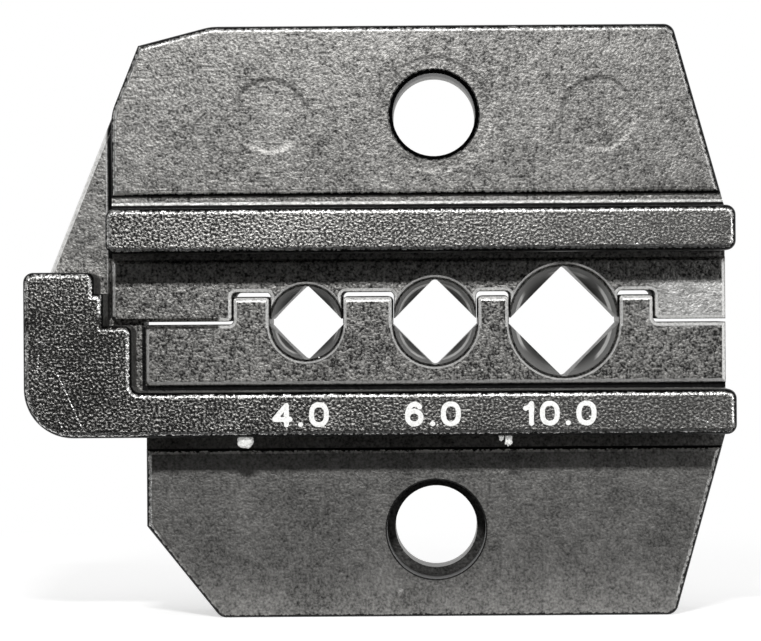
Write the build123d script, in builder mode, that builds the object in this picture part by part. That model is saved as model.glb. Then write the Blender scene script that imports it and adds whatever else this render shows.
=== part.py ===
from build123d import *
from math import radians, sqrt, tan
import os

os.makedirs("parts", exist_ok=True)

# A pair of crimp die halves, stood upright on the lower half's tongue. +Z is the way the pair opens,
# the front faces -Y, and the origin is under the fixing bores, in the middle of the thickness.

# Thicknesses, front to back
plate_t = 8.0
rib_t = 16.0
tab_t = 4.8
tab_play = 0.15

# Crimp cavities: squares stood on a corner, with a round funnel at each end
small_cavity = 3.25
middle_cavity = 3.76
large_cavity = 4.84
cavity_pitch = 7.93
cavity_corner_r = 0.3
mouth_margin = 0.12
mouth_lip_w = 0.26
mouth_lip_depth = 0.4
mouth_depth = 1.7

# Steel left between the mouth of the largest cavity and the groove beside the rib
lower_wall = 0.16
upper_wall = 0.26

# Heights, counted up or down from each half's own parting face, or over and under its own end
lower_h = 18.0
upper_h = 18.15
bore_h = 12.65
rib_h = 2.75
block_relief_w = 0.35
tongue_relief_w = 0.8
relief_depth = 0.5
rest_gap = 0.2

# Outlines of the tongues and the blocks, to the left and the right of the fixing bores
body_right = 17.85
tip_inset = 3.15
rib_right_reach = 0.4
lower_left = 17.8
foot_inset = 4.5
foot_slope_h = 5.65
upper_left_reach = 2.05
rib_left_reach = 0.1
crown_inset = 6.15
crown_slope_h = 1.15
nose_h = 12.85
nose_angle = 22.0

# Guide tab of the upper half
tab_reach = 4.25
tab_block_play = 0.2
tab_floor_play = 0.3
tab_lead = 0.8
tab_edge_r = 0.3
tab_root_r = 0.5

# Fork cheeks of the lower half, stepped to clear the end of the upper block
cheek_block_gap = 0.6
cheek_end_play = 0.25
cheek_step_w = 0.55
cheek_step_h = 1.95
cheek_top_h = 3.25
cheek_cover = 0.85
fork_lead = 0.3

# Guide fingers, one on each side of every cavity, and the recesses that they enter
first_finger_w = 2.2
last_finger_w = 2.08
finger_h = 1.72
finger_play = 0.1
finger_top_play = 0.06
finger_notch = 0.03
finger_r = 0.3
finger_foot_r = 0.3
finger_tip_r = 0.4

# Fixing bores
bore_r = 2.55
bore_chamfer = 0.3
seat_r = 3.05
seat_depth = 3.8

# Rounded edges and corners. The tightest outside corners are a little rounder than the edges that meet there
edge_r = 0.4
tight_corner_r = edge_r + 0.05
block_edge_w = 0.22
block_corner_r = 0.3
core_overlap = 1.0
tip_corner_r = 0.7
bend_r = 3.0
rib_end_r = 0.6
cheek_corner_r = 3.0
shoulder_r = 0.3
cheek_root_r = 0.5

# Distance within which two places count as the same, and a width beyond that of any plate
same = 0.001
plate_span = 2 * plate_t + 2 * rib_t
below = (Align.CENTER, Align.CENTER, Align.MAX)

# Cavities, left to right: their centres and half their widths across the corners
cavity_sides = [small_cavity, middle_cavity, large_cavity]
half_diagonals = [side / sqrt(2) for side in cavity_sides]
cavity_x = [(i - (len(cavity_sides) - 1) / 2) * cavity_pitch for i in range(len(cavity_sides))]
cavities = list(zip(cavity_x, half_diagonals))

# Levels of both halves at rest
largest_mouth_r = max(half_diagonals) + mouth_margin
lower_face = lower_h
lower_rib_top = lower_face - largest_mouth_r - lower_wall - block_relief_w
lower_rib_bottom = lower_rib_top - rib_h
lower_block_bottom = lower_rib_top + block_relief_w
lower_tongue_top = lower_rib_bottom - tongue_relief_w
lower_bore_z = lower_face - bore_h
finger_top = lower_face + finger_h
cheek_top = lower_face + cheek_top_h
upper_face = lower_face + rest_gap
upper_rib_bottom = upper_face + largest_mouth_r + upper_wall + block_relief_w
upper_rib_top = upper_rib_bottom + rib_h
upper_block_top = upper_rib_bottom - block_relief_w
upper_tongue_bottom = upper_rib_top + tongue_relief_w
upper_bore_z = upper_face + bore_h
nose_z = upper_face + nose_h
crown_z = upper_face + upper_h
recess_roof = finger_top + rest_gap + finger_top_play
tab_bottom = lower_rib_top + rest_gap + tab_floor_play

# Places across, to the left of the bores unless they say right
rib_right = body_right + rib_right_reach
tip_right = body_right - tip_inset
foot_left = lower_left - foot_inset
upper_left = lower_left + upper_left_reach
crown_left = upper_left - crown_inset
upper_rib_left = upper_left + rib_left_reach
tab_left = upper_left + tab_reach
tab_inner = lower_left + tab_block_play
cheek_inner = lower_left + cheek_block_gap
step_left = upper_left + cheek_end_play
cheek_top_left = step_left + cheek_step_w
cheek_left = tab_left + cheek_cover

# Fingers, whose flanks stop just short of the cavities' corners
left_flanks = [x - d + finger_notch for x, d in cavities]
right_flanks = [x + d - finger_notch for x, d in cavities]
finger_lefts = [left_flanks[0] - first_finger_w] + right_flanks
finger_rights = left_flanks + [right_flanks[-1] + last_finger_w]
fingers = list(zip(finger_lefts, finger_rights))

# Front faces in which the fixing bores open
lower_bore_mouth = Plane((0, -plate_t / 2, lower_bore_z), x_dir=(1, 0, 0), z_dir=(0, -1, 0))
upper_bore_mouth = Plane((0, -plate_t / 2, upper_bore_z), x_dir=(1, 0, 0), z_dir=(0, -1, 0))


def flush_edges(part, y, low, high):
    """Edges that lie at the depth y, in front or at the back, between two heights."""
    edges = part.edges().filter_by_position(Axis.Z, low - same, high + same)
    return edges.filter_by(lambda e: abs(abs(e.center().Y) - y) < same)


def corner(outline, x, z):
    """The corner of an upright outline that lies nearest to a point."""
    return outline.vertices().sort_by_distance((x, z, 0))[0]


def outer_faces(part):
    """The foremost and the rearmost face."""
    faces = part.faces().sort_by(Axis.Y)
    return [faces[0], faces[-1]]


# The space of the cavities, centred on a parting face, which is cut from both halves
with BuildPart() as cavity_space:
    with BuildSketch(Plane.XZ) as squares:
        for x, side in zip(cavity_x, cavity_sides):
            with Locations((x, 0)):
                Rectangle(side, side, rotation=45)
        fillet([v for v in squares.vertices() if abs(v.Y) > cavity_corner_r], cavity_corner_r)
    extrude(amount=plate_t, both=True)
    for x, half_diagonal in cavities:
        throat_r = half_diagonal / sqrt(2)
        mouth_r = half_diagonal + mouth_margin
        for outward in (-1, 1):
            mouth = Plane((x, outward * plate_t / 2, 0), x_dir=(1, 0, 0), z_dir=(0, outward, 0))
            with Locations(mouth):
                Cone(mouth_r - mouth_lip_w, mouth_r, mouth_lip_depth, align=below)
            with Locations(mouth.offset(-mouth_lip_depth)):
                Cone(throat_r, mouth_r - mouth_lip_w, mouth_depth - mouth_lip_depth, align=below)


# Lower half
with BuildPart() as lower_die:
    # Core, which shows as the floor of the relief grooves along both sides of the rib
    with BuildSketch(Plane.XZ) as lower_core:
        with BuildLine():
            Polyline(
                (-foot_left, 0),
                (tip_right, 0),
                (body_right, lower_rib_bottom),
                (body_right, lower_block_bottom + core_overlap),
                (-lower_left, lower_block_bottom + core_overlap),
                (-lower_left, foot_slope_h),
                close=True,
            )
        make_face()
        fillet(lower_core.vertices().group_by(Axis.Y)[0], tip_corner_r)
    extrude(amount=plate_t / 2 - relief_depth, both=True)
    # Tongue, up to the groove under the rib
    with BuildSketch(Plane.XZ) as lower_tongue:
        add(lower_core.sketch_local)
        with Locations((0, lower_tongue_top)):
            Rectangle(plate_span, plate_span, align=(Align.CENTER, Align.MIN), mode=Mode.SUBTRACT)
    extrude(amount=plate_t / 2, both=True)
    fillet(flush_edges(lower_die, plate_t / 2, 0, lower_tongue_top), edge_r)
    # Crimp block and fingers
    with BuildSketch(Plane.XZ) as lower_block:
        with BuildLine():
            Polyline(
                (-lower_left, lower_block_bottom),
                (body_right, lower_block_bottom),
                (body_right, lower_face),
                (-lower_left, lower_face),
                close=True,
            )
        make_face()
        for left, right in fingers:
            with Locations((left, lower_face - finger_h)):
                Rectangle(right - left, 2 * finger_h, align=(Align.MIN, Align.MIN))
        fillet(lower_block.vertices().group_by(Axis.Y)[-1], finger_r)
        fillet(corner(lower_block, -lower_left, lower_block_bottom), block_corner_r)
        feet = [v for v in lower_block.vertices().sort_by(Axis.X) if abs(v.Y - lower_face) < same]
        fillet([feet[1], feet[-2]], finger_foot_r)
    extrude(amount=plate_t / 2, both=True)
    chamfer(flush_edges(lower_die, plate_t / 2, lower_block_bottom, finger_top), block_edge_w)
    # Rounded fronts and backs of the finger tips
    with BuildSketch(Plane.YZ) as tip_rounds:
        for side in (-1, 1):
            with Locations((side * plate_t / 2, finger_top)):
                Rectangle(2 * finger_tip_r, 2 * finger_tip_r)
            with Locations((side * (plate_t / 2 - finger_tip_r), finger_top - finger_tip_r)):
                Circle(finger_tip_r, mode=Mode.SUBTRACT)
    extrude(amount=body_right, both=True, mode=Mode.SUBTRACT)
    # Bearing rib, with the stepped fork cheeks standing on its left end
    with BuildSketch(Plane.XZ) as lower_rib:
        with BuildLine():
            Polyline(
                (-cheek_left, lower_rib_bottom),
                (rib_right, lower_rib_bottom),
                (rib_right, lower_rib_top),
                (-cheek_inner, lower_rib_top),
                (-cheek_inner, lower_face),
                (-step_left, lower_face),
                (-step_left, lower_face + cheek_step_h),
                (-cheek_top_left, lower_face + cheek_step_h),
                (-cheek_top_left, cheek_top),
                (-cheek_left, cheek_top),
                close=True,
            )
        make_face()
        fillet(lower_rib.vertices().group_by(Axis.X)[-1], rib_end_r)
        fillet(corner(lower_rib, -cheek_left, cheek_top), rib_end_r)
        fillet(corner(lower_rib, -cheek_left, lower_rib_bottom), cheek_corner_r)
        fillet(corner(lower_rib, -cheek_top_left, cheek_top), tight_corner_r)
        fillet(corner(lower_rib, -cheek_inner, lower_face), tight_corner_r)
        fillet(corner(lower_rib, -cheek_inner, lower_rib_top), cheek_root_r)
    extrude(amount=rib_t / 2, both=True)
    for face in outer_faces(lower_die):
        fillet(face.edges(), edge_r)
    # Web that ties the cheeks to the block, as the floor of the groove between them
    with BuildSketch(Plane.XZ) as web:
        with Locations((-lower_left, lower_face)):
            Rectangle(
                cheek_block_gap + tight_corner_r,
                lower_face - lower_rib_top + core_overlap,
                align=(Align.MAX, Align.MAX),
            )
    extrude(amount=plate_t / 2 - relief_depth, both=True)
    # Slot of the fork, between the cheeks, with its flared mouth
    slot_side = tab_t / 2 + tab_play
    with BuildSketch(Plane.YZ.offset(-lower_left)) as fork_slot:
        with BuildLine():
            Polyline(
                (-slot_side, lower_rib_top),
                (slot_side, lower_rib_top),
                (slot_side, cheek_top - fork_lead),
                (slot_side + fork_lead, cheek_top),
                (-slot_side - fork_lead, cheek_top),
                (-slot_side, cheek_top - fork_lead),
                close=True,
            )
        make_face()
    extrude(amount=-cheek_left, mode=Mode.SUBTRACT)
    # Fixing bore, counterbored from the front
    with Locations(lower_bore_mouth):
        CounterBoreHole(bore_r, seat_r, seat_depth)
    # Lower halves of the crimp cavities
    add(cavity_space.part.moved(Location((0, 0, lower_face))), mode=Mode.SUBTRACT)


# Guide tab of the upper half, whose outer edge carries the nose line on down into the fork
tab_corner_z = nose_z - tab_reach / tan(radians(nose_angle))
with BuildPart() as guide_tab:
    with BuildSketch(Plane.XZ) as tab_outline:
        with BuildLine():
            Polyline(
                (-upper_left, nose_z),
                (-tab_left, tab_corner_z),
                (-tab_left, tab_bottom),
                (-tab_inner, tab_bottom),
                (-tab_inner, upper_rib_bottom),
                close=True,
            )
        make_face()
        chamfer(tab_outline.vertices().group_by(Axis.Y)[0], tab_lead)
    extrude(amount=tab_t / 2, both=True)
    for face in outer_faces(guide_tab):
        fillet(face.edges(), tab_edge_r)


# Hollow roots by which the tab runs into the block and the tongue, from the block's rounded lower corner up
root_z = upper_face + shoulder_r
with BuildPart() as tab_roots:
    with BuildSketch(Plane.XY.offset(root_z)) as root_section:
        for side in (-1, 1):
            with Locations((-upper_left, side * tab_t / 2)):
                Rectangle(2 * tab_root_r, 2 * tab_root_r)
            with Locations((-upper_left - tab_root_r, side * (tab_t / 2 + tab_root_r))):
                Circle(tab_root_r, mode=Mode.SUBTRACT)
    extrude(amount=nose_z - root_z)
    with BuildSketch(Plane.XZ) as root_outline:
        add(tab_outline.sketch_local)
        offset(amount=-tab_edge_r, mode=Mode.REPLACE)
    extrude(amount=plate_t, both=True, mode=Mode.INTERSECT)


# Upper half
with BuildPart() as upper_die:
    # Core, which shows as the floor of the relief grooves along both sides of the rib
    slope_z = crown_z - crown_slope_h
    slope_left = upper_left - (slope_z - nose_z) * tan(radians(nose_angle))
    with BuildSketch(Plane.XZ) as upper_core:
        with BuildLine():
            Polyline(
                (-upper_left, upper_block_top - core_overlap),
                (body_right, upper_block_top - core_overlap),
                (body_right, upper_rib_top),
                (tip_right, crown_z),
                (-crown_left, crown_z),
                (-slope_left, slope_z),
                (-upper_left, nose_z),
                close=True,
            )
        make_face()
        fillet(corner(upper_core, tip_right, crown_z), tip_corner_r)
        fillet(corner(upper_core, -crown_left, crown_z), bend_r)
        fillet(corner(upper_core, -upper_left, nose_z), bend_r)
    extrude(amount=plate_t / 2 - relief_depth, both=True)
    # Tongue, down to the groove over the rib
    with BuildSketch(Plane.XZ) as upper_tongue:
        add(upper_core.sketch_local)
        with Locations((0, upper_tongue_bottom)):
            Rectangle(plate_span, plate_span, align=(Align.CENTER, Align.MAX), mode=Mode.SUBTRACT)
    extrude(amount=plate_t / 2, both=True)
    fillet(flush_edges(upper_die, plate_t / 2, upper_tongue_bottom, crown_z), edge_r)
    # Crimp block and finger recesses
    with BuildSketch(Plane.XZ) as upper_block:
        with BuildLine():
            Polyline(
                (-upper_left, upper_block_top),
                (body_right, upper_block_top),
                (body_right, upper_face),
                (-upper_left, upper_face),
                close=True,
            )
        make_face()
        for left, right in fingers:
            with Locations(((left + right) / 2, recess_roof)):
                Rectangle(
                    right - left + 2 * finger_play,
                    2 * (recess_roof - upper_face),
                    align=(Align.CENTER, Align.MAX),
                    mode=Mode.SUBTRACT,
                )
        fillet([v for v in upper_block.vertices() if abs(v.Y - recess_roof) < same], finger_r)
        mouth_corners = upper_block.vertices().group_by(Axis.Y)[0].sort_by(Axis.X)
        fillet([mouth_corners[1], mouth_corners[-2]], finger_foot_r)
        fillet(corner(upper_block, -upper_left, upper_face), shoulder_r)
    extrude(amount=plate_t / 2, both=True)
    chamfer(flush_edges(upper_die, plate_t / 2, upper_face, upper_block_top), block_edge_w)
    # Guide tab and its roots
    add(guide_tab.part)
    add(tab_roots.part)
    # Bearing rib
    with BuildSketch(Plane.XZ) as upper_rib:
        with BuildLine():
            Polyline(
                (-upper_rib_left, upper_rib_bottom),
                (rib_right, upper_rib_bottom),
                (rib_right, upper_rib_top),
                (-upper_rib_left, upper_rib_top),
                close=True,
            )
        make_face()
        fillet(upper_rib.vertices(), rib_end_r)
    extrude(amount=rib_t / 2, both=True)
    for face in outer_faces(upper_die):
        fillet(face.edges(), edge_r)
    # Fixing bore, chamfered at both ends
    with Locations(upper_bore_mouth):
        Hole(bore_r)
    chamfer([e for e in upper_die.edges(Select.LAST) if e.geom_type == GeomType.CIRCLE], bore_chamfer)
    # Upper halves of the crimp cavities
    add(cavity_space.part.moved(Location((0, 0, upper_face))), mode=Mode.SUBTRACT)


lower_die.part.label = "lower_die"
export_step(lower_die.part, "parts/lower_die.step")
upper_die.part.label = "upper_die"
export_step(upper_die.part, "parts/upper_die.step")
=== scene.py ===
import math

import bmesh
import bpy
from bpy.props import FloatProperty, FloatVectorProperty, IntProperty, PointerProperty, StringProperty
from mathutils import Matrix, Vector, noise


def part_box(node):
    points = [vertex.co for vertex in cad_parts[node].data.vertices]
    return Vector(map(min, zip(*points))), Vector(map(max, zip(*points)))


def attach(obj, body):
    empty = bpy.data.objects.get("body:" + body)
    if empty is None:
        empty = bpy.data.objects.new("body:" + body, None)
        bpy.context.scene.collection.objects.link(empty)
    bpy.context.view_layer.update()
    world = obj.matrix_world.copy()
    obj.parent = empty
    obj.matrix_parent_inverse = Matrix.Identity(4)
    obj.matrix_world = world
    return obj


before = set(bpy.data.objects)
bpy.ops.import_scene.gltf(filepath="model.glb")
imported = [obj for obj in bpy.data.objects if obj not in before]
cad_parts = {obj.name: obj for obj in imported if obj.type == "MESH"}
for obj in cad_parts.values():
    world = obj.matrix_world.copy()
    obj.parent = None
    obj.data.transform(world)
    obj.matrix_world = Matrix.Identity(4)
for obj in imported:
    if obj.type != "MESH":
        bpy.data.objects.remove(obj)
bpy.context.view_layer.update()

bl_info = {
    "name": "Crimp Die Insert",
    "version": (1, 0, 0),
    "blender": (4, 5, 0),
    "location": "View3D > Sidebar > Crimp Die",
    "description": "Finishes a pair of crimp die halves in black oxide steel, with painted numbers",
    "category": "Object",
}

MM = 0.001

# Depths of the flat faces, in front and at the back
PLATE_DEPTH = 4.0 * MM
RIB_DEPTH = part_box("lower_die")[1].y

# Round marks in the fronts of the tongues, as x, z, radius and share of the full depth: two of ejector pins,
# one of a screw head round the upper bore, one faint one and a small dent
ROUND_MARKS = (
    (-10.1, 30.85, 2.27, 1.0),
    (10.1, 30.85, 2.27, 1.0),
    (0.0, 30.85, 3.55, 0.6),
    (3.8, 10.5, 1.66, 0.4),
    (-2.2, 1.8, 0.24, 1.3),
)

# The bores, as x, z, the radius within which the front half of their walls is darkened with painted shade, and the
# strength of that shade
BORES = ((0.0, 30.85, 2.62, 0.9), (0.0, 5.35, 3.12, 0.9))

# Scratches on the front of the fork cheek and the ribs: x and z of both ends, half width, strength
SCRATCHES = (
    ((-22.9, 15.2), (-21.4, 11.8), 0.045, 0.8),
    ((-23.0, 12.7), (-22.6, 11.9), 0.06, 0.7),
    ((-24.2, 17.2), (-23.6, 16.9), 0.07, 1.0),
    ((-24.1, 15.2), (-24.0, 16.3), 0.06, 0.7),
    ((15.6, 12.3), (17.3, 11.6), 0.06, 0.8),
    ((11.3, 22.6), (12.5, 22.8), 0.07, 0.9),
)

# Tones of the middle of the plates and of the bare ribs, from 0 for dark oxide to 1 for rubbed oxide
PLATE_TONE = 0.44
RIB_TONE = 0.01

# Painted numbers: how much and over what length the stroke varies in width, the spacing of the dots that make it,
# and the grid in which they melt together. A ring has a point every so many degrees.
STROKE_UNEVENNESS = 0.35
STROKE_WAVE = 0.35
STROKE_STEP = 0.05
STROKE_GRID = 0.04
RING_STEP = 12.0

# Dust on the paint: the size of its spots, and how dark they are
DUST_SIZE = 0.12 * MM
DUST_SHADE = 0.72
DUST_HEIGHT = 0.008 * MM

# Dried paint under the lower rib: name, x and z of its middle, its half sizes, where its flat top lies as a share
# of its half height, and how lumpy it is
RESIDUE_DEPTH = -RIB_DEPTH + 0.85 * MM
RESIDUE = (
    ("paint_drip_left", -11.55, 10.98, (0.48, 0.30, 0.46), 0.62, 0.22),
    ("paint_drip_right", 4.42, 10.98, (0.20, 0.18, 0.38), 0.62, 0.5),
    ("paint_crumb", 3.98, 11.08, (0.15, 0.15, 0.20), 0.70, 0.4),
)

# Where specks may lie: the depth of a flat front and its lowest and highest z, and half the width of both fields.
# The smallest speck is this share of the largest, and their depth and height are these shares of their width.
SPECK_FIELDS = ((PLATE_DEPTH, 14.6, 16.2), (RIB_DEPTH, 11.6, 13.5))
SPECK_REACH = 16.0
SPECK_SMALLEST = 0.35
SPECK_DEPTH = 0.3
SPECK_HEIGHT = 0.8

# Camera: level, in line with the fixing bores and a little above the middle of the dies. The sensor and the lens
# are in millimetres.
CAMERA_PLACE = (0.0, -263.0 * MM, 19.14 * MM)
CAMERA_ROLL = math.radians(0.38)
SENSOR = 36.0
LENS = 199.4
SHIFT = (-0.0716, -0.0204)

# Lamps: widths and heights in millimetres, how far the key stands to the left, the direction of the right strip,
# and the name, side and share of the side power of each strip
LAMP_TARGET = Vector((0.0, -PLATE_DEPTH, 19.0 * MM))
KEY_ASIDE = -0.07
KEY_SIZE = (24.0, 9.0)
STRIP_DIRECTION = (0.72, -0.68, 0.12)
STRIP_SIZE = (8.0, 80.0)
STRIPS = (("left_strip", -1.0, 0.6), ("right_strip", 1.0, 2.6))

# Floor: half its width, the distances in millimetres between which it turns from lit to plain white, and how much
# the lit part glows by itself
FLOOR_HALF = 3.0
FLOOR_FADE = (45.0, 100.0)
FLOOR_LIFT = 0.5
WHITE = (1.0, 1.0, 1.0, 1.0)

# Hood round the camera: half its width, its lowest and highest z, the y of its near and far end, and how bright it is
HOOD_HALF = 120.0 * MM
HOOD_HEIGHTS = (0.3 * MM, 140.0 * MM)
HOOD_ENDS = (-10.0 * MM, -320.0 * MM)
HOOD_GLOW = 0.015


class SteelSettings(bpy.types.PropertyGroup):
    """Finish of the two steel halves."""

    oxide: FloatVectorProperty(
        name="Oxide",
        description="Colour of the black oxide skin where it is darkest",
        subtype="COLOR",
        size=3,
        min=0.0,
        max=1.0,
        default=(0.032, 0.0315, 0.0305),
    )
    # Rubbed oxide, towards which the painted light on the upper die also lightens the skin
    rubbed_and_lit: FloatVectorProperty(
        name="Rubbed oxide",
        description="Colour of the skin where handling has thinned it",
        subtype="COLOR",
        size=3,
        min=0.0,
        max=1.0,
        default=(0.47, 0.462, 0.445),
    )
    # Worn steel on edges and scratches, and the colour of the painted highlights on edges, cavity lips, grooves,
    # throats and the right end of the upper block
    bare_and_highlight: FloatVectorProperty(
        name="Bare steel",
        description="Colour of the steel that shows along worn edges",
        subtype="COLOR",
        size=3,
        min=0.0,
        max=1.0,
        default=(0.80, 0.795, 0.78),
    )
    # Painted shade: the dark outer half of every rounded edge, the corners of the grooves and the front of the bores
    painted_shade: FloatVectorProperty(
        name="Rim",
        description="Colour of the thick oxide in the outer half of every rounded edge",
        subtype="COLOR",
        size=3,
        min=0.0,
        max=1.0,
        default=(0.012, 0.012, 0.012),
    )
    grain_size: FloatProperty(
        name="Grain size",
        description="Spacing of the pits in the blasted skin",
        unit="LENGTH",
        default=0.16 * MM,
    )
    grain_height: FloatProperty(
        name="Grain height",
        description="Depth of the pits in the blasted skin",
        unit="LENGTH",
        default=0.030 * MM,
    )
    # Width of the band of worn steel and painted highlight along each edge
    wear_and_highlight_width: FloatProperty(
        name="Worn width",
        description="How far back from a flat face the bare steel of its edge reaches",
        unit="LENGTH",
        default=0.065 * MM,
    )
    mark_depth: FloatProperty(
        name="Pin mark depth",
        description="Depth of the round marks that the ejector pins leave",
        unit="LENGTH",
        default=0.034 * MM,
    )


class PaintSettings(bpy.types.PropertyGroup):
    """Painted wire sizes under the cavities, and paint left behind in the grooves."""

    paint: FloatVectorProperty(
        name="Paint",
        description="Colour of the marking paint",
        subtype="COLOR",
        size=3,
        min=0.0,
        max=1.0,
        default=(0.80, 0.80, 0.78),
    )
    sizes: StringProperty(
        name="Sizes",
        description="The numbers, one for each cavity, written with 0, 1, 4, 6 and a point",
        default="4.0 6.0 10.0",
    )
    centres: FloatVectorProperty(
        name="Centres",
        description="Where the middle of each number lies along the rib",
        subtype="XYZ",
        unit="LENGTH",
        size=3,
        default=(-8.17 * MM, -0.19 * MM, 7.46 * MM),
    )
    level: FloatProperty(
        name="Level",
        description="Height of the middle of the numbers over the foot",
        unit="LENGTH",
        default=12.55 * MM,
    )
    stroke: FloatProperty(
        name="Stroke",
        description="Width of the painted line",
        unit="LENGTH",
        default=0.30 * MM,
    )
    pitch: FloatProperty(
        name="Pitch",
        description="Distance from one digit to the next",
        unit="LENGTH",
        default=1.108 * MM,
    )
    thickness: FloatProperty(
        name="Thickness",
        description="How far the paint stands off the steel",
        unit="LENGTH",
        default=0.008 * MM,
    )
    specks: IntProperty(
        name="Specks",
        description="How many specks of paint lie about under the block",
        default=10,
        min=0,
    )
    speck_size: FloatProperty(
        name="Speck size",
        description="Width of the largest speck",
        unit="LENGTH",
        default=0.13 * MM,
    )
    seed: IntProperty(
        name="Seed",
        description="Starts the scatter of the specks",
        default=7,
    )


class StageSettings(bpy.types.PropertyGroup):
    """Floor, lamps and camera."""

    floor: FloatVectorProperty(
        name="Floor",
        description="Colour of the floor",
        subtype="COLOR",
        size=3,
        min=0.0,
        max=1.0,
        default=(0.90, 0.90, 0.90),
    )
    fill: FloatProperty(
        name="Fill",
        description="Strength of the soft light from all round",
        default=0.5,
        min=0.0,
    )
    key_power: FloatProperty(
        name="Key power",
        description="Power of the small lamp above the camera",
        unit="POWER",
        default=0.13,
    )
    key_elevation: FloatProperty(
        name="Key elevation",
        description="Height of the small lamp above the camera's axis",
        subtype="ANGLE",
        default=math.radians(27.5),
    )
    side_power: FloatProperty(
        name="Side power",
        description="Power of each of the two strip lamps that draw the upright edges",
        unit="POWER",
        default=0.02,
    )
    lamp_distance: FloatProperty(
        name="Lamp distance",
        description="Distance of the lamps from the dies",
        unit="LENGTH",
        default=150.0 * MM,
    )


class Value:
    """A socket of a node tree. Python's operators on a number of it add Math nodes."""

    def __init__(self, nodes, socket):
        self.nodes = nodes
        self.socket = socket

    def maths(self, operation, *terms):
        return self.nodes.add("ShaderNodeMath", {"operation": operation}, dict(enumerate(terms)))

    def __add__(self, other):
        return self.maths("ADD", self, other)

    def __radd__(self, other):
        return self.maths("ADD", other, self)

    def __sub__(self, other):
        return self.maths("SUBTRACT", self, other)

    def __rsub__(self, other):
        return self.maths("SUBTRACT", other, self)

    def __mul__(self, other):
        return self.maths("MULTIPLY", self, other)

    def __rmul__(self, other):
        return self.maths("MULTIPLY", other, self)

    def __truediv__(self, other):
        return self.maths("DIVIDE", self, other)

    def __abs__(self):
        return self.maths("ABSOLUTE", self)

    def or_more(self, other):
        return self.maths("MAXIMUM", self, other)


class Nodes:
    """A node tree, built node by node."""

    def __init__(self, tree):
        self.tree = tree
        self.tree.nodes.clear()

    def add(self, kind, settings=None, inputs=None, output=0):
        """Adds a node: its settings first, then the values or links of its sockets."""
        node = self.tree.nodes.new(kind)
        for name, value in (settings or {}).items():
            setattr(node, name, value)
        for name, value in (inputs or {}).items():
            if isinstance(value, Value):
                self.tree.links.new(value.socket, node.inputs[name])
            else:
                node.inputs[name].default_value = value
        return Value(self, node.outputs[output] if node.outputs else None)

    def rise(self, value, low, high):
        """0 below one level and 1 above the other, with a smooth step between."""
        settings = {"interpolation_type": "SMOOTHSTEP"}
        return self.add("ShaderNodeMapRange", settings, {"Value": value, "From Min": low, "From Max": high})

    def past(self, length, low, high):
        """0 below one level and 1 above the other, both in millimetres."""
        return self.rise(length, low * MM, high * MM)

    def before(self, length, low, high):
        """1 below one level and 0 above the other, both in millimetres."""
        return 1.0 - self.past(length, low, high)

    def between(self, length, low, high, soft):
        """1 between two levels in millimetres and 0 outside them."""
        return self.past(length, low - soft, low) * self.before(length, high, high + soft)

    def noise(self, place, size, detail=2.0, roughness=0.5):
        """Cloudy noise, 0 to 1, with blobs about one size across."""
        inputs = {"Vector": place, "Scale": 1.0 / size, "Detail": detail, "Roughness": roughness}
        return self.add("ShaderNodeTexNoise", {}, inputs)

    def seen(self):
        """1 for what is seen, also as a reflection or through glass, and 0 for light on a matte surface."""
        path = self.tree.nodes.new("ShaderNodeLightPath")
        rays = [Value(self, path.outputs[f"Is {kind} Ray"]) for kind in ("Camera", "Glossy", "Transmission")]
        return rays[0].or_more(rays[1]).or_more(rays[2])


class Finish(Nodes):
    """A procedural material."""

    def __init__(self, name):
        self.material = bpy.data.materials.new(name)
        self.material.use_nodes = True
        super().__init__(self.material.node_tree)

    def place(self):
        """Where a point lies on its object."""
        return self.add("ShaderNodeTexCoord", output="Object")

    def split(self, vector, axis):
        """One of a vector's three numbers."""
        return self.add("ShaderNodeSeparateXYZ", {}, {0: vector}, axis)

    def blend(self, share, first, second):
        """Mix of two colours."""
        settings = {"data_type": "RGBA"}
        return self.add("ShaderNodeMix", settings, {0: share, 6: rgba(first), 7: rgba(second)}, 2)

    def vector(self, operation, *terms, output=0):
        return self.add("ShaderNodeVectorMath", {"operation": operation}, dict(enumerate(terms)), output)

    def front_view(self, place):
        """A place with its depth taken out."""
        return self.vector("MULTIPLY", place, (1.0, 0.0, 1.0))

    def off_line(self, flat, start, end):
        """Distance, seen from the front, to the line between two places."""
        run = end - start
        along = self.vector("SUBTRACT", flat, start)
        share = self.vector("DOT_PRODUCT", along, run / run.length_squared, output=1)
        inside = self.add("ShaderNodeClamp", {}, {"Value": share})
        return self.vector("DISTANCE", along, self.vector("MULTIPLY", inside, run), output=1)

    def surface(self, shader):
        self.add("ShaderNodeOutputMaterial", {}, {"Surface": shader})
        return self.material


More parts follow.
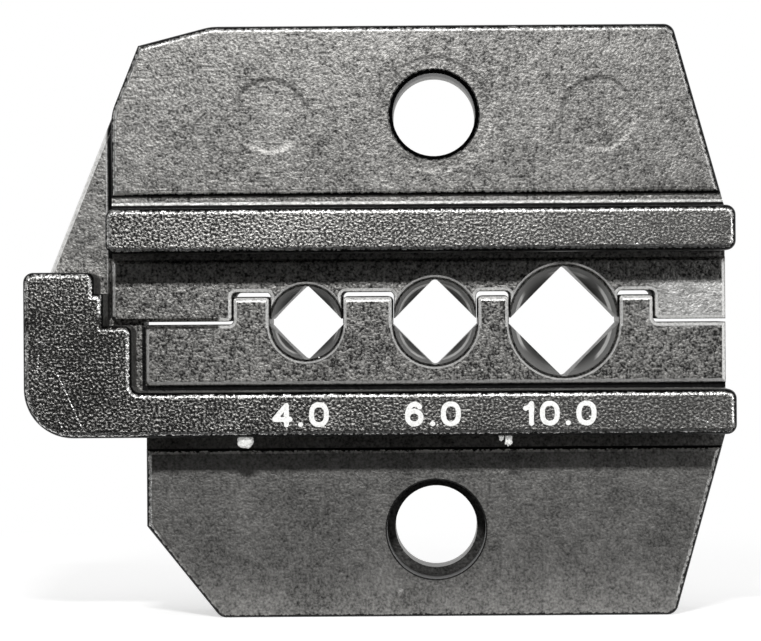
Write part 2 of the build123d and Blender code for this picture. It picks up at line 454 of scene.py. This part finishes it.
class Maker(Nodes):
    """A geometry node tree with named inputs."""

    def __init__(self, name, inputs):
        super().__init__(bpy.data.node_groups.new(name, "GeometryNodeTree"))
        sockets = self.tree.interface
        sockets.new_socket(name="Geometry", in_out="OUTPUT", socket_type="NodeSocketGeometry")
        sockets.new_socket(name="Geometry", in_out="INPUT", socket_type="NodeSocketGeometry")
        self.keys = {}
        for label, kind in {**inputs, "Material": "NodeSocketMaterial"}.items():
            self.keys[label] = sockets.new_socket(name=label, in_out="INPUT", socket_type=kind).identifier
        self.start = self.tree.nodes.new("NodeGroupInput")

    def given(self, label):
        return Value(self, self.start.outputs[label])

    def end(self, geometry):
        """Realizes what was made, and gives it its material."""
        smooth = self.add("GeometryNodeSetShadeSmooth", {}, {"Geometry": geometry})
        real = self.add("GeometryNodeRealizeInstances", {}, {"Geometry": smooth})
        inputs = {"Geometry": real, "Material": self.given("Material")}
        painted = self.add("GeometryNodeSetMaterial", {}, inputs)
        self.add("NodeGroupOutput", {}, {"Geometry": painted})

    def make(self, name, carrier, values):
        """Runs the tree on a mesh, and keeps the result as a plain mesh."""
        piece = link(name, carrier)
        modifier = piece.modifiers.new(name, "NODES")
        modifier.node_group = self.tree
        for label, value in values.items():
            modifier[self.keys[label]] = value
        bpy.context.view_layer.update()
        depsgraph = bpy.context.evaluated_depsgraph_get()
        made = bpy.data.meshes.new_from_object(piece.evaluated_get(depsgraph))
        piece.modifiers.remove(modifier)
        made.name = name
        piece.data = made
        bpy.data.meshes.remove(carrier)
        return piece


def rgba(colour):
    """A colour with its fourth number, or a socket as it is."""
    return colour if isinstance(colour, Value) else (*colour, 1.0)


def at(x, z):
    """A place in the front view, from millimetres."""
    return Vector((x * MM, 0.0, z * MM))


def rectangle(half, low, high):
    """Corners of a rectangle from its half width and its ends."""
    return ((-half, low), (half, low), (half, high), (-half, high))


def new_mesh(name, corners, edges=(), faces=()):
    """A mesh from its corners, and the edges or faces between them."""
    mesh = bpy.data.meshes.new(name)
    mesh.from_pydata(corners, edges, faces)
    return mesh


def link(name, data):
    """A new object in the scene, at the origin."""
    piece = bpy.data.objects.new(name, data)
    bpy.context.scene.collection.objects.link(piece)
    return piece


class SteelFinish(Finish):
    """Black oxide on blasted steel: fine pits, rubbed high spots, worn edges with painted highlights, painted shade
    in the outer half of rounded edges, in grooves and bores, and painted light on the upper die.

    Each mask is 1 on its part of the dies and 0 elsewhere. Its levels are in millimetres.
    """

    def __init__(self, look):
        super().__init__("black_oxide_steel")
        self.look = look
        self.point = self.place()
        self.flat = self.front_view(self.point)
        self.x, self.y, self.z = [self.split(self.point, axis) for axis in range(3)]
        self.depth = abs(self.y)
        self.facing = abs(self.split(self.add("ShaderNodeTexCoord", output="Normal"), 1))
        self.mask_parts()
        self.grow_grain()
        self.mask_edges()

    def mask_parts(self):
        """Parts of the dies. The ribs and cheeks stand proud, and the plates between them are level."""
        self.front = self.before(self.y, -0.1, 0.1)
        self.proud = self.past(self.depth, 4.6, 5.2)
        self.level = 1.0 - self.proud
        self.block = self.between(self.z, 14.2, 22.1, 0.05) * self.level
        self.upper = self.past(self.z, 18.1, 22.0)
        self.cheek = self.before(self.x, -19.0, -17.0)
        self.tab = self.before(self.x, -20.3, -20.1) * self.level
        self.uncut = self.before(self.x, -13.4, -13.2)
        self.groove_floor = self.between(self.depth, 3.44, 3.56, 0.06)

    def grow_grain(self):
        """Noises for the grain, which serve the colour and the height alike."""
        size = self.look.grain_size
        self.fine = self.noise(self.point, size, 2.0, 0.6)
        self.fleck = self.noise(self.point, size, 1.5, 0.5)
        self.broad = self.noise(self.point, 2.0 * size, 2.0)
        self.cloud = self.noise(self.point, 16.0 * size, 2.0)

        # Fainter on the lower tongue, and softer towards the right end of the ribs
        self.rough = 0.62 + 0.38 * self.past(self.z, 8.0, 14.0)
        self.softer = self.past(self.x, -18.0, 18.0)

    def mask_edges(self):
        """Rounded edges: worn steel with a painted highlight next to the flat face, and painted shade beyond it."""
        in_face = self.rise(self.facing, 0.97, 0.995)
        upright = 1.0 - self.rise(self.facing, 0.03, 0.06)
        edge = (1.0 - in_face) * (1.0 - upright)

        # How much worn steel and painted highlight each edge carries: none at the foot of the lower tongue and along
        # its lower left slope, and less at the right ends of the plates
        foot = self.before(self.z, 1.0, 1.4)
        foot_slope = self.before(self.x, -12.6, -12.2) * self.before(self.z, 4.9, 5.3)
        edge_wear_and_highlight = (1.0 - foot.or_more(foot_slope)) * (0.35 + 0.65 * self.rise(self.broad, 0.38, 0.54))
        edge_wear_and_highlight = edge_wear_and_highlight * (1.0 - 0.6 * self.level * self.past(self.x, 11.0, 12.5))
        reach = self.look.wear_and_highlight_width * (-0.3 + 2.6 * self.fleck + 0.6 * self.cheek)
        below_face = PLATE_DEPTH + (RIB_DEPTH - PLATE_DEPTH) * self.proud - self.depth
        near_face = edge_wear_and_highlight * self.before(below_face - reach, -0.01, 0.015)
        beyond = self.past(below_face - reach, 0.0, 0.03)

        # Round the blocks and along the tab the whole rounding is painted highlight on worn steel, but not along the
        # gap at the left, nor along the top of the upper block, where the rib's shadow falls
        crest = self.past(self.depth, 3.78, 3.86) * self.before(self.z, 21.5, 21.8)
        along_gap = self.uncut * self.between(self.z, 17.8, 18.5, 0.1)
        self.bright = edge * (self.block * crest * (1.0 - along_gap)).or_more(self.tab)
        # Worn steel with a painted highlight next to the flat face of each edge
        self.bare_and_highlight = (edge * near_face * (1.0 - along_gap)).or_more(self.bright)
        # Painted shade in the outer half of each rounding, but not round the blocks and the tab
        self.painted_shade = edge * beyond * (1.0 - self.block.or_more(self.tab))

        # Throats of the cavities, which slope as the edges do but lie deeper
        self.throat = edge * self.block * self.before(self.depth, 3.52, 3.62) * (1.0 - self.uncut)

    def skin(self):
        """Oxide thinned by handling: mottled on the plates, flecked on the ribs, with painted light that makes the
        upper die lighter, painted shade on the lower block and towards the foot, and a painted highlight at the right
        end of the upper block.
        """
        fine_mottle = (1.3 + 0.7 * self.block) * (self.fine - 0.5)
        broad_mottle = (1.0 + 0.5 * self.block) * (self.broad - 0.5)
        plates = PLATE_TONE + self.rough * (fine_mottle + broad_mottle) + 0.5 * (self.cloud - 0.5)
        # Painted light: the upper block lighter and the lower block darker
        plates = plates - 0.05 * self.block * (1.0 - self.upper) + 0.06 * self.block * self.upper
        # Lighter at the left end of the upper die
        plates = plates + 0.07 * self.upper * self.before(self.x, -17.9, -17.7)
        # Painted shade: darker towards the foot of the lower tongue
        plates = plates - 0.07 * self.before(self.z, 2.0, 8.0)

        # Painted light on the upper rib: lighter towards its left end and a little darker at its right end, on top of
        # the flecked wear
        painted_light_on_upper = self.upper * (0.05 - 0.065 * self.past(self.x, -16.0, 16.0))
        worn = self.fleck + 0.20 * (self.cloud - 0.5) + painted_light_on_upper - 0.04 * self.cheek
        contrast = 5.0 - 2.2 * self.softer
        ribs = RIB_TONE + 0.20 * self.softer + contrast * (worn - 0.45).or_more(0.0)
        skin = self.blend(plates * self.level + ribs * self.proud, self.look.oxide, self.look.rubbed_and_lit)

        # Painted highlight in broad blotches on the front of the right end of the upper block
        end = self.past(self.x, 12.4, 14.6) * self.between(self.z, 18.1, 20.3, 0.6)
        end = end * self.level * self.front * self.rise(self.facing, 0.8, 0.95)
        return self.blend(end * (0.15 + 0.9 * self.broad), skin, self.look.bare_and_highlight)

    def grooves(self, colour):
        """A painted highlight on the floor of the groove over the upper rib, and painted shade in the corners of the
        grooves.
        """
        # Painted highlight: a thin light band on the groove floor over the upper rib
        rubbed_and_lit = self.between(self.z, 25.42, 25.52, 0.05) * self.groove_floor
        colour = self.blend(rubbed_and_lit * (0.3 + self.fine), colour, self.look.bare_and_highlight)
        # Painted shade in the grooves over the upper rib, under the lower block and beside it
        over_rib = self.between(self.z, 25.12, 25.34, 0.05)
        under_block = self.between(self.z, 13.98, 14.27, 0.03) * self.past(self.x, -18.1, -18.0)
        beside_block = self.between(self.x, -18.03, -17.84, 0.03) * self.between(self.z, 14.0, 17.9, 0.05)
        painted_groove_shade = over_rib.or_more(under_block).or_more(beside_block) * self.groove_floor
        return self.blend(painted_groove_shade, colour, self.look.painted_shade)

    def edges(self, colour):
        """Worn steel with a painted highlight, and painted shade, on the rounded edges."""
        colour = self.blend(self.bare_and_highlight * (0.2 + 1.4 * self.fine), colour, self.look.bare_and_highlight)
        return self.blend(self.painted_shade, colour, self.look.painted_shade)

    def throats(self, colour):
        """Throats of the cavities: smooth, with painted shade that darkens them further in, and a streaky painted
        highlight in a band a little way in.
        """
        # Painted shade: darker further in
        painted_light_near_mouth = self.past(self.depth, 2.3, 3.5)
        # Painted highlight: a streaky light band in the throat
        mark = self.between(self.depth, 2.95, 3.12, 0.10)
        streaks = self.rise(self.noise(self.point, 2.2 * MM, 1.0), 0.42, 0.62)
        tone = 0.04 + 0.30 * painted_light_near_mouth + 0.9 * mark * streaks
        return self.blend(self.throat, colour, self.blend(tone, self.look.oxide, self.look.bare_and_highlight))

    def scratches(self):
        """Scratches, broken by the grain, on the fronts that stand proud."""
        scratched = 0.0
        for start, end, half_width, strength in SCRATCHES:
            off = self.off_line(self.flat, at(*start), at(*end))
            scratched = (strength * self.before(off, 0.3 * half_width, half_width)).or_more(scratched)
        return scratched * self.proud * self.front * self.rise(self.fleck, 0.22, 0.42)

    def discs(self, discs, inside, outside):
        """Discs in the front view, soft within and beyond their radius by so many millimetres."""
        total = 0.0
        for across, up, radius, strength in discs:
            off = self.vector("DISTANCE", self.flat, at(across, up), output=1)
            total = total + strength * self.before(off, radius - inside, radius + outside)
        return total

    def height(self):
        """Pits of the grain, and the round marks."""
        plates = self.rough * (0.6 * self.fine + self.broad) * self.level
        ribs = (2.4 - 0.9 * self.softer) * self.fleck * self.proud
        pits = self.look.grain_height * (plates + ribs) * (1.0 - 0.8 * self.throat)
        marks = self.discs(ROUND_MARKS, 0.2, 0.16) * self.front * self.level
        return pits - self.look.mark_depth * marks

    def build(self):
        """The finished material. Bright edges and throats are less metallic, so that they catch the fill."""
        scratched = self.scratches()
        colour = self.throats(self.edges(self.grooves(self.skin())))
        colour = self.blend(scratched, colour, self.look.bare_and_highlight)
        # Painted shade on the front half of the bores' walls
        painted_bore_shade = self.discs(BORES, 0.0, 0.03) * self.before(self.y, -0.6, 0.4)
        bump_inputs = {"Height": self.height(), "Strength": 1.0, "Distance": 1.0}
        shader_inputs = {
            "Base Color": self.blend(painted_bore_shade, colour, self.look.painted_shade),
            "Metallic": 1.0 - 0.65 * self.bright - 0.55 * self.throat,
            "Roughness": 0.47 - 0.04 * self.proud - 0.10 * self.bare_and_highlight - 0.10 * scratched,
            "Normal": self.add("ShaderNodeBump", {}, bump_inputs),
        }
        return self.surface(self.add("ShaderNodeBsdfPrincipled", {}, shader_inputs))


def paint_material(look):
    """Matte marking paint, a little rubbed and dusty."""
    paint = Finish("white_paint")
    dust = paint.noise(paint.place(), DUST_SIZE, 3.0, 0.6)
    dusty = [DUST_SHADE * share for share in look.paint]
    colour = paint.blend(paint.rise(dust, 0.25, 0.60), dusty, look.paint)
    bump = paint.add("ShaderNodeBump", {}, {"Height": dust, "Strength": 1.0, "Distance": DUST_HEIGHT})
    inputs = {"Base Color": colour, "Roughness": 0.6, "Normal": bump}
    return paint.surface(paint.add("ShaderNodeBsdfPrincipled", {}, inputs))


def shared_paint():
    """The one paint material, made when it is first asked for."""
    return bpy.data.materials.get("white_paint") or paint_material(bpy.context.scene.crimp_paint)


class DIE_OT_finish_steel(bpy.types.Operator):
    """Give both die halves their black oxide skin"""

    bl_idname = "crimp_die.finish_steel"
    bl_label = "Finish Steel"

    def execute(self, context):
        material = SteelFinish(context.scene.crimp_steel).build()
        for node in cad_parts.values():
            node.data.materials.clear()
            node.data.materials.append(material)
        return {"FINISHED"}


def bow(half_width, half_height, start, end, middle=(0.0, 0.0), squareness=2.0):
    """Points along part of a rounded ring, with its angles in degrees."""
    steps = max(4, round(abs(end - start) / RING_STEP))
    points = []
    for i in range(steps + 1):
        angle = math.radians(start + (end - start) * i / steps)
        c, s = math.cos(angle), math.sin(angle)
        x = half_width * math.copysign(abs(c) ** (2.0 / squareness), c)
        z = half_height * math.copysign(abs(s) ** (2.0 / squareness), s)
        points.append((middle[0] + x, middle[1] + z))
    return points


def digit_strokes(character):
    """The painted lines of a digit, in millimetres from its middle."""
    if character == "0":
        return [bow(0.455, 0.60, 0.0, 360.0, squareness=2.4)]
    if character == "1":
        return [[(0.0, -0.60), (0.0, 0.60)], [(-0.36, 0.30), (-0.10, 0.42), (0.0, 0.60)]]
    if character == "4":
        return [[(0.242, -0.60), (0.242, 0.57), (-0.487, -0.272), (0.46, -0.272)]]
    if character == "6":
        arm = bow(0.44, 0.68, 48.0, 180.0, (0.03, -0.08))
        return [bow(0.41, 0.39, 0.0, 360.0, (0.0, -0.21)), arm + [(-0.41, -0.21)]]
    if character == ".":
        return [[(-0.01, -0.59), (0.01, -0.59)]]
    raise ValueError(f"there are no strokes for {character!r}")


def number_lines(look):
    """Edges down the middle of every painted line, in millimetres, flat in the front view."""
    points, edges = [], []
    for text, centre in zip(look.sizes.split(), look.centres):
        for place, character in enumerate(text):
            x = centre / MM + (place - (len(text) - 1) / 2.0) * look.pitch / MM
            for stroke in digit_strokes(character):
                first = len(points)
                points += [(x + across, 0.0, look.level / MM + up) for across, up in stroke]
                edges += [(i, i + 1) for i in range(first, len(points) - 1)]
    return new_mesh("number_lines", points, edges=edges)


def number_maker():
    """Swells lines to brush strokes, melts them together, and lays them on the rib as a film."""
    maker = Maker("painted_strokes", {
        "Stroke": "NodeSocketFloat",
        "Unevenness": "NodeSocketFloat",
        "Grid": "NodeSocketFloat",
        "Flatness": "NodeSocketFloat",
        "Face": "NodeSocketFloat",
    })
    curves = maker.add("GeometryNodeMeshToCurve", {}, {"Mesh": maker.given("Geometry")})
    fine = maker.add("GeometryNodeResampleCurve", {"mode": "LENGTH"}, {"Curve": curves, "Length": STROKE_STEP})
    points = maker.add("GeometryNodeCurveToPoints", {"mode": "EVALUATED"}, {"Curve": fine})
    place = maker.add("GeometryNodeInputPosition")
    uneven = (maker.noise(place, STROKE_WAVE, 2.0) - 0.5) * maker.given("Unevenness")
    radius = 0.5 * maker.given("Stroke") * (1.0 + uneven)
    volume_inputs = {"Points": points, "Voxel Size": maker.given("Grid"), "Radius": radius}
    volume = maker.add("GeometryNodePointsToVolume", {"resolution_mode": "VOXEL_SIZE"}, volume_inputs)
    mesh_inputs = {"Volume": volume, "Threshold": 0.1}
    mesh = maker.add("GeometryNodeVolumeToMesh", {"resolution_mode": "GRID"}, mesh_inputs)
    scale = maker.add("ShaderNodeCombineXYZ", {}, {0: MM, 1: maker.given("Flatness") * MM, 2: MM})
    shift = maker.add("ShaderNodeCombineXYZ", {}, {1: maker.given("Face")})
    film = maker.add("GeometryNodeTransform", {}, {"Geometry": mesh, "Scale": scale, "Translation": shift})
    maker.end(film)
    return maker


class DIE_OT_paint_numbers(bpy.types.Operator):
    """Paint the wire sizes on the front of the lower rib"""

    bl_idname = "crimp_die.paint_numbers"
    bl_label = "Paint Numbers"

    def execute(self, context):
        look = context.scene.crimp_paint
        numbers = number_maker().make("painted_numbers", number_lines(look), {
            "Stroke": look.stroke / MM,
            "Unevenness": STROKE_UNEVENNESS,
            "Grid": STROKE_GRID,
            "Flatness": 2.0 * look.thickness / look.stroke,
            "Face": -RIB_DEPTH,
            "Material": shared_paint(),
        })
        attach(numbers, "lower_die")
        return {"FINISHED"}


def lump(name, middle, half_sizes, top, roughness):
    """A drop of dried paint, with a flat top where it hangs from the steel."""
    shape = bmesh.new()
    bmesh.ops.create_icosphere(shape, subdivisions=4, radius=1.0)
    for vertex in shape.verts:
        swell = 1.0 + roughness * noise.fractal(vertex.co * 1.7 + middle / MM, 0.8, 2.1, 4)
        place = vertex.co * swell
        place.z = min(place.z, top)
        vertex.co = middle + Vector([a * b * MM for a, b in zip(place, half_sizes)])
    bmesh.ops.recalc_face_normals(shape, faces=shape.faces)
    mesh = bpy.data.meshes.new(name)
    shape.to_mesh(mesh)
    shape.free()
    mesh.materials.append(shared_paint())
    for face in mesh.polygons:
        face.use_smooth = True
    piece = link(name, mesh)
    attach(piece, "lower_die")


def speck_field():
    """The flat front of the lower block and rib, over which specks are scattered."""
    corners = []
    for depth, low, high in SPECK_FIELDS:
        corners += [(across * MM, -depth, up * MM) for across, up in rectangle(SPECK_REACH, low, high)]
    return new_mesh("speck_field", corners, faces=[(0, 1, 2, 3), (4, 5, 6, 7)])


def speck_maker():
    """Scatters small flattened crumbs over faces."""
    maker = Maker("paint_specks", {
        "Count": "NodeSocketInt",
        "Size": "NodeSocketFloat",
        "Seed": "NodeSocketInt",
        "Field": "NodeSocketFloat",
    })
    density = maker.given("Count") / maker.given("Field")
    inputs = {"Mesh": maker.given("Geometry"), "Density": density, "Seed": maker.given("Seed")}
    points = maker.add("GeometryNodeDistributePointsOnFaces", {"distribute_method": "RANDOM"}, inputs)
    crumb = maker.add("GeometryNodeMeshIcoSphere", {}, {"Radius": 0.5, "Subdivisions": 2})
    random_inputs = {2: SPECK_SMALLEST, 3: 1.0, "Seed": maker.given("Seed")}
    share = maker.add("FunctionNodeRandomValue", {"data_type": "FLOAT"}, random_inputs, 1)
    across = share * maker.given("Size")
    scale = maker.add("ShaderNodeCombineXYZ", {}, {0: across, 1: across * SPECK_DEPTH, 2: across * SPECK_HEIGHT})
    instances = {"Points": points, "Instance": crumb, "Scale": scale}
    maker.end(maker.add("GeometryNodeInstanceOnPoints", {}, instances))
    return maker


class DIE_OT_leave_residue(bpy.types.Operator):
    """Leave crumbs and specks of dried paint on the lower half"""

    bl_idname = "crimp_die.leave_residue"
    bl_label = "Leave Residue"

    def execute(self, context):
        look = context.scene.crimp_paint
        for name, across, up, half_sizes, top, roughness in RESIDUE:
            lump(name, Vector((across * MM, RESIDUE_DEPTH, up * MM)), half_sizes, top, roughness)
        field = speck_field()
        area = sum(face.area for face in field.polygons)
        specks = speck_maker().make("paint_specks", field, {
            "Count": look.specks,
            "Size": look.speck_size,
            "Seed": look.seed,
            "Field": area,
            "Material": shared_paint(),
        })
        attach(specks, "lower_die")
        return {"FINISHED"}


def link_stage(name, mesh, material):
    """A piece of the stage, which is no part of the dies."""
    mesh.materials.append(material)
    piece = link(name, mesh)
    return piece


def make_floor(look):
    """Pale floor that keeps the shadow near the dies and is plain white further off."""
    floor = Finish("pale_floor")
    seen = floor.seen()
    far = floor.past(floor.vector("LENGTH", floor.place(), output=1), *FLOOR_FADE)
    lit = floor.add("ShaderNodeBsdfDiffuse", {}, {"Color": rgba(look.floor)})
    lift = floor.add("ShaderNodeEmission", {}, {"Color": WHITE, "Strength": seen * FLOOR_LIFT})
    near = floor.add("ShaderNodeAddShader", {}, {0: lit, 1: lift})
    plain = floor.add("ShaderNodeEmission", {}, {"Color": WHITE, "Strength": 1.0})
    material = floor.surface(floor.add("ShaderNodeMixShader", {}, {0: seen * far, 1: near, 2: plain}))
    corners = [(across, along, 0.0) for across, along in rectangle(FLOOR_HALF, -FLOOR_HALF, FLOOR_HALF)]
    link_stage("floor", new_mesh("floor", corners, faces=[(0, 1, 2, 3)]), material)


def make_hood():
    """Dark hood round the camera that only reflections see, open towards the dies."""
    black = Finish("dark_hood")
    glow = {"Color": WHITE, "Strength": HOOD_GLOW}
    material = black.surface(black.add("ShaderNodeEmission", {}, glow))
    corners = [(across, end, up) for end in HOOD_ENDS for across, up in rectangle(HOOD_HALF, *HOOD_HEIGHTS)]
    walls = [(0, 1, 5, 4), (1, 2, 6, 5), (2, 3, 7, 6), (3, 0, 4, 7), (4, 5, 6, 7)]
    hood = link_stage("dark_hood", new_mesh("dark_hood", corners, faces=walls), material)
    hood.visible_camera = False
    hood.visible_diffuse = False
    hood.visible_transmission = False
    hood.visible_shadow = False


def make_lamp(name, place, size, power):
    """A rectangular lamp aimed at the dies. Its size is in millimetres."""
    lamp = bpy.data.lights.new(name, "AREA")
    lamp.shape = "RECTANGLE"
    lamp.size, lamp.size_y = size[0] * MM, size[1] * MM
    lamp.energy = power
    piece = link(name, lamp)
    piece.location = place
    piece.rotation_euler = (LAMP_TARGET - place).to_track_quat("-Z", "Y").to_euler()


def make_world(fill):
    """White to the camera and to reflections, and a plain fill for everything else."""
    world = bpy.data.worlds.new("studio")
    bpy.context.scene.world = world
    world.use_nodes = True
    sky = Nodes(world.node_tree)
    strength = fill + (1.0 - fill) * sky.seen()
    background = sky.add("ShaderNodeBackground", {}, {"Color": WHITE, "Strength": strength})
    sky.add("ShaderNodeOutputWorld", {}, {"Surface": background})


class DIE_OT_set_stage(bpy.types.Operator):
    """Set up the floor, the lamps, the world and the camera"""

    bl_idname = "crimp_die.set_stage"
    bl_label = "Set Stage"

    def execute(self, context):
        look = context.scene.crimp_stage
        make_floor(look)
        make_hood()
        make_world(look.fill)

        camera = bpy.data.cameras.new("camera")
        camera.sensor_width = SENSOR
        camera.lens = LENS
        camera.shift_x, camera.shift_y = SHIFT
        camera.clip_start = 10.0 * MM
        camera.dof.use_dof = False
        viewer = link("camera", camera)
        viewer.location = CAMERA_PLACE
        viewer.rotation_euler = (math.radians(90.0), CAMERA_ROLL, 0.0)
        context.scene.camera = viewer

        # Lamps: a small one above the camera, and a tall strip on each side of it
        rise = look.key_elevation
        above = Vector((KEY_ASIDE, -math.cos(rise), math.sin(rise)))
        make_lamp("key_lamp", LAMP_TARGET + look.lamp_distance * above, KEY_SIZE, look.key_power)
        for name, side, share in STRIPS:
            beside = Vector((side, 1.0, 1.0)) * Vector(STRIP_DIRECTION)
            power = share * look.side_power
            make_lamp(name, LAMP_TARGET + look.lamp_distance * beside, STRIP_SIZE, power)

        context.scene.view_settings.view_transform = "Standard"
        return {"FINISHED"}


class DIE_PT_sidebar(bpy.types.Panel):
    """Sizes and colours of the crimp die pair"""

    bl_idname = "DIE_PT_sidebar"
    bl_label = "Crimp Die"
    bl_space_type = "VIEW_3D"
    bl_region_type = "UI"
    bl_category = "Crimp Die"

    def draw(self, context):
        scene = context.scene
        for settings, operators in (
            (scene.crimp_steel, (DIE_OT_finish_steel,)),
            (scene.crimp_paint, (DIE_OT_paint_numbers, DIE_OT_leave_residue)),
            (scene.crimp_stage, (DIE_OT_set_stage,)),
        ):
            box = self.layout.box()
            for name in settings.__annotations__:
                box.prop(settings, name)
            for operator in operators:
                box.operator(operator.bl_idname)


CLASSES = (
    SteelSettings,
    PaintSettings,
    StageSettings,
    DIE_OT_finish_steel,
    DIE_OT_paint_numbers,
    DIE_OT_leave_residue,
    DIE_OT_set_stage,
    DIE_PT_sidebar,
)


def register():
    for each in CLASSES:
        bpy.utils.register_class(each)
    bpy.types.Scene.crimp_steel = PointerProperty(type=SteelSettings)
    bpy.types.Scene.crimp_paint = PointerProperty(type=PaintSettings)
    bpy.types.Scene.crimp_stage = PointerProperty(type=StageSettings)


def unregister():
    del bpy.types.Scene.crimp_stage
    del bpy.types.Scene.crimp_paint
    del bpy.types.Scene.crimp_steel
    for each in reversed(CLASSES):
        bpy.utils.unregister_class(each)


def main():
    register()
    bpy.ops.crimp_die.finish_steel()
    bpy.ops.crimp_die.paint_numbers()
    bpy.ops.crimp_die.leave_residue()
    bpy.ops.crimp_die.set_stage()


if __name__ == "__main__":
    main()
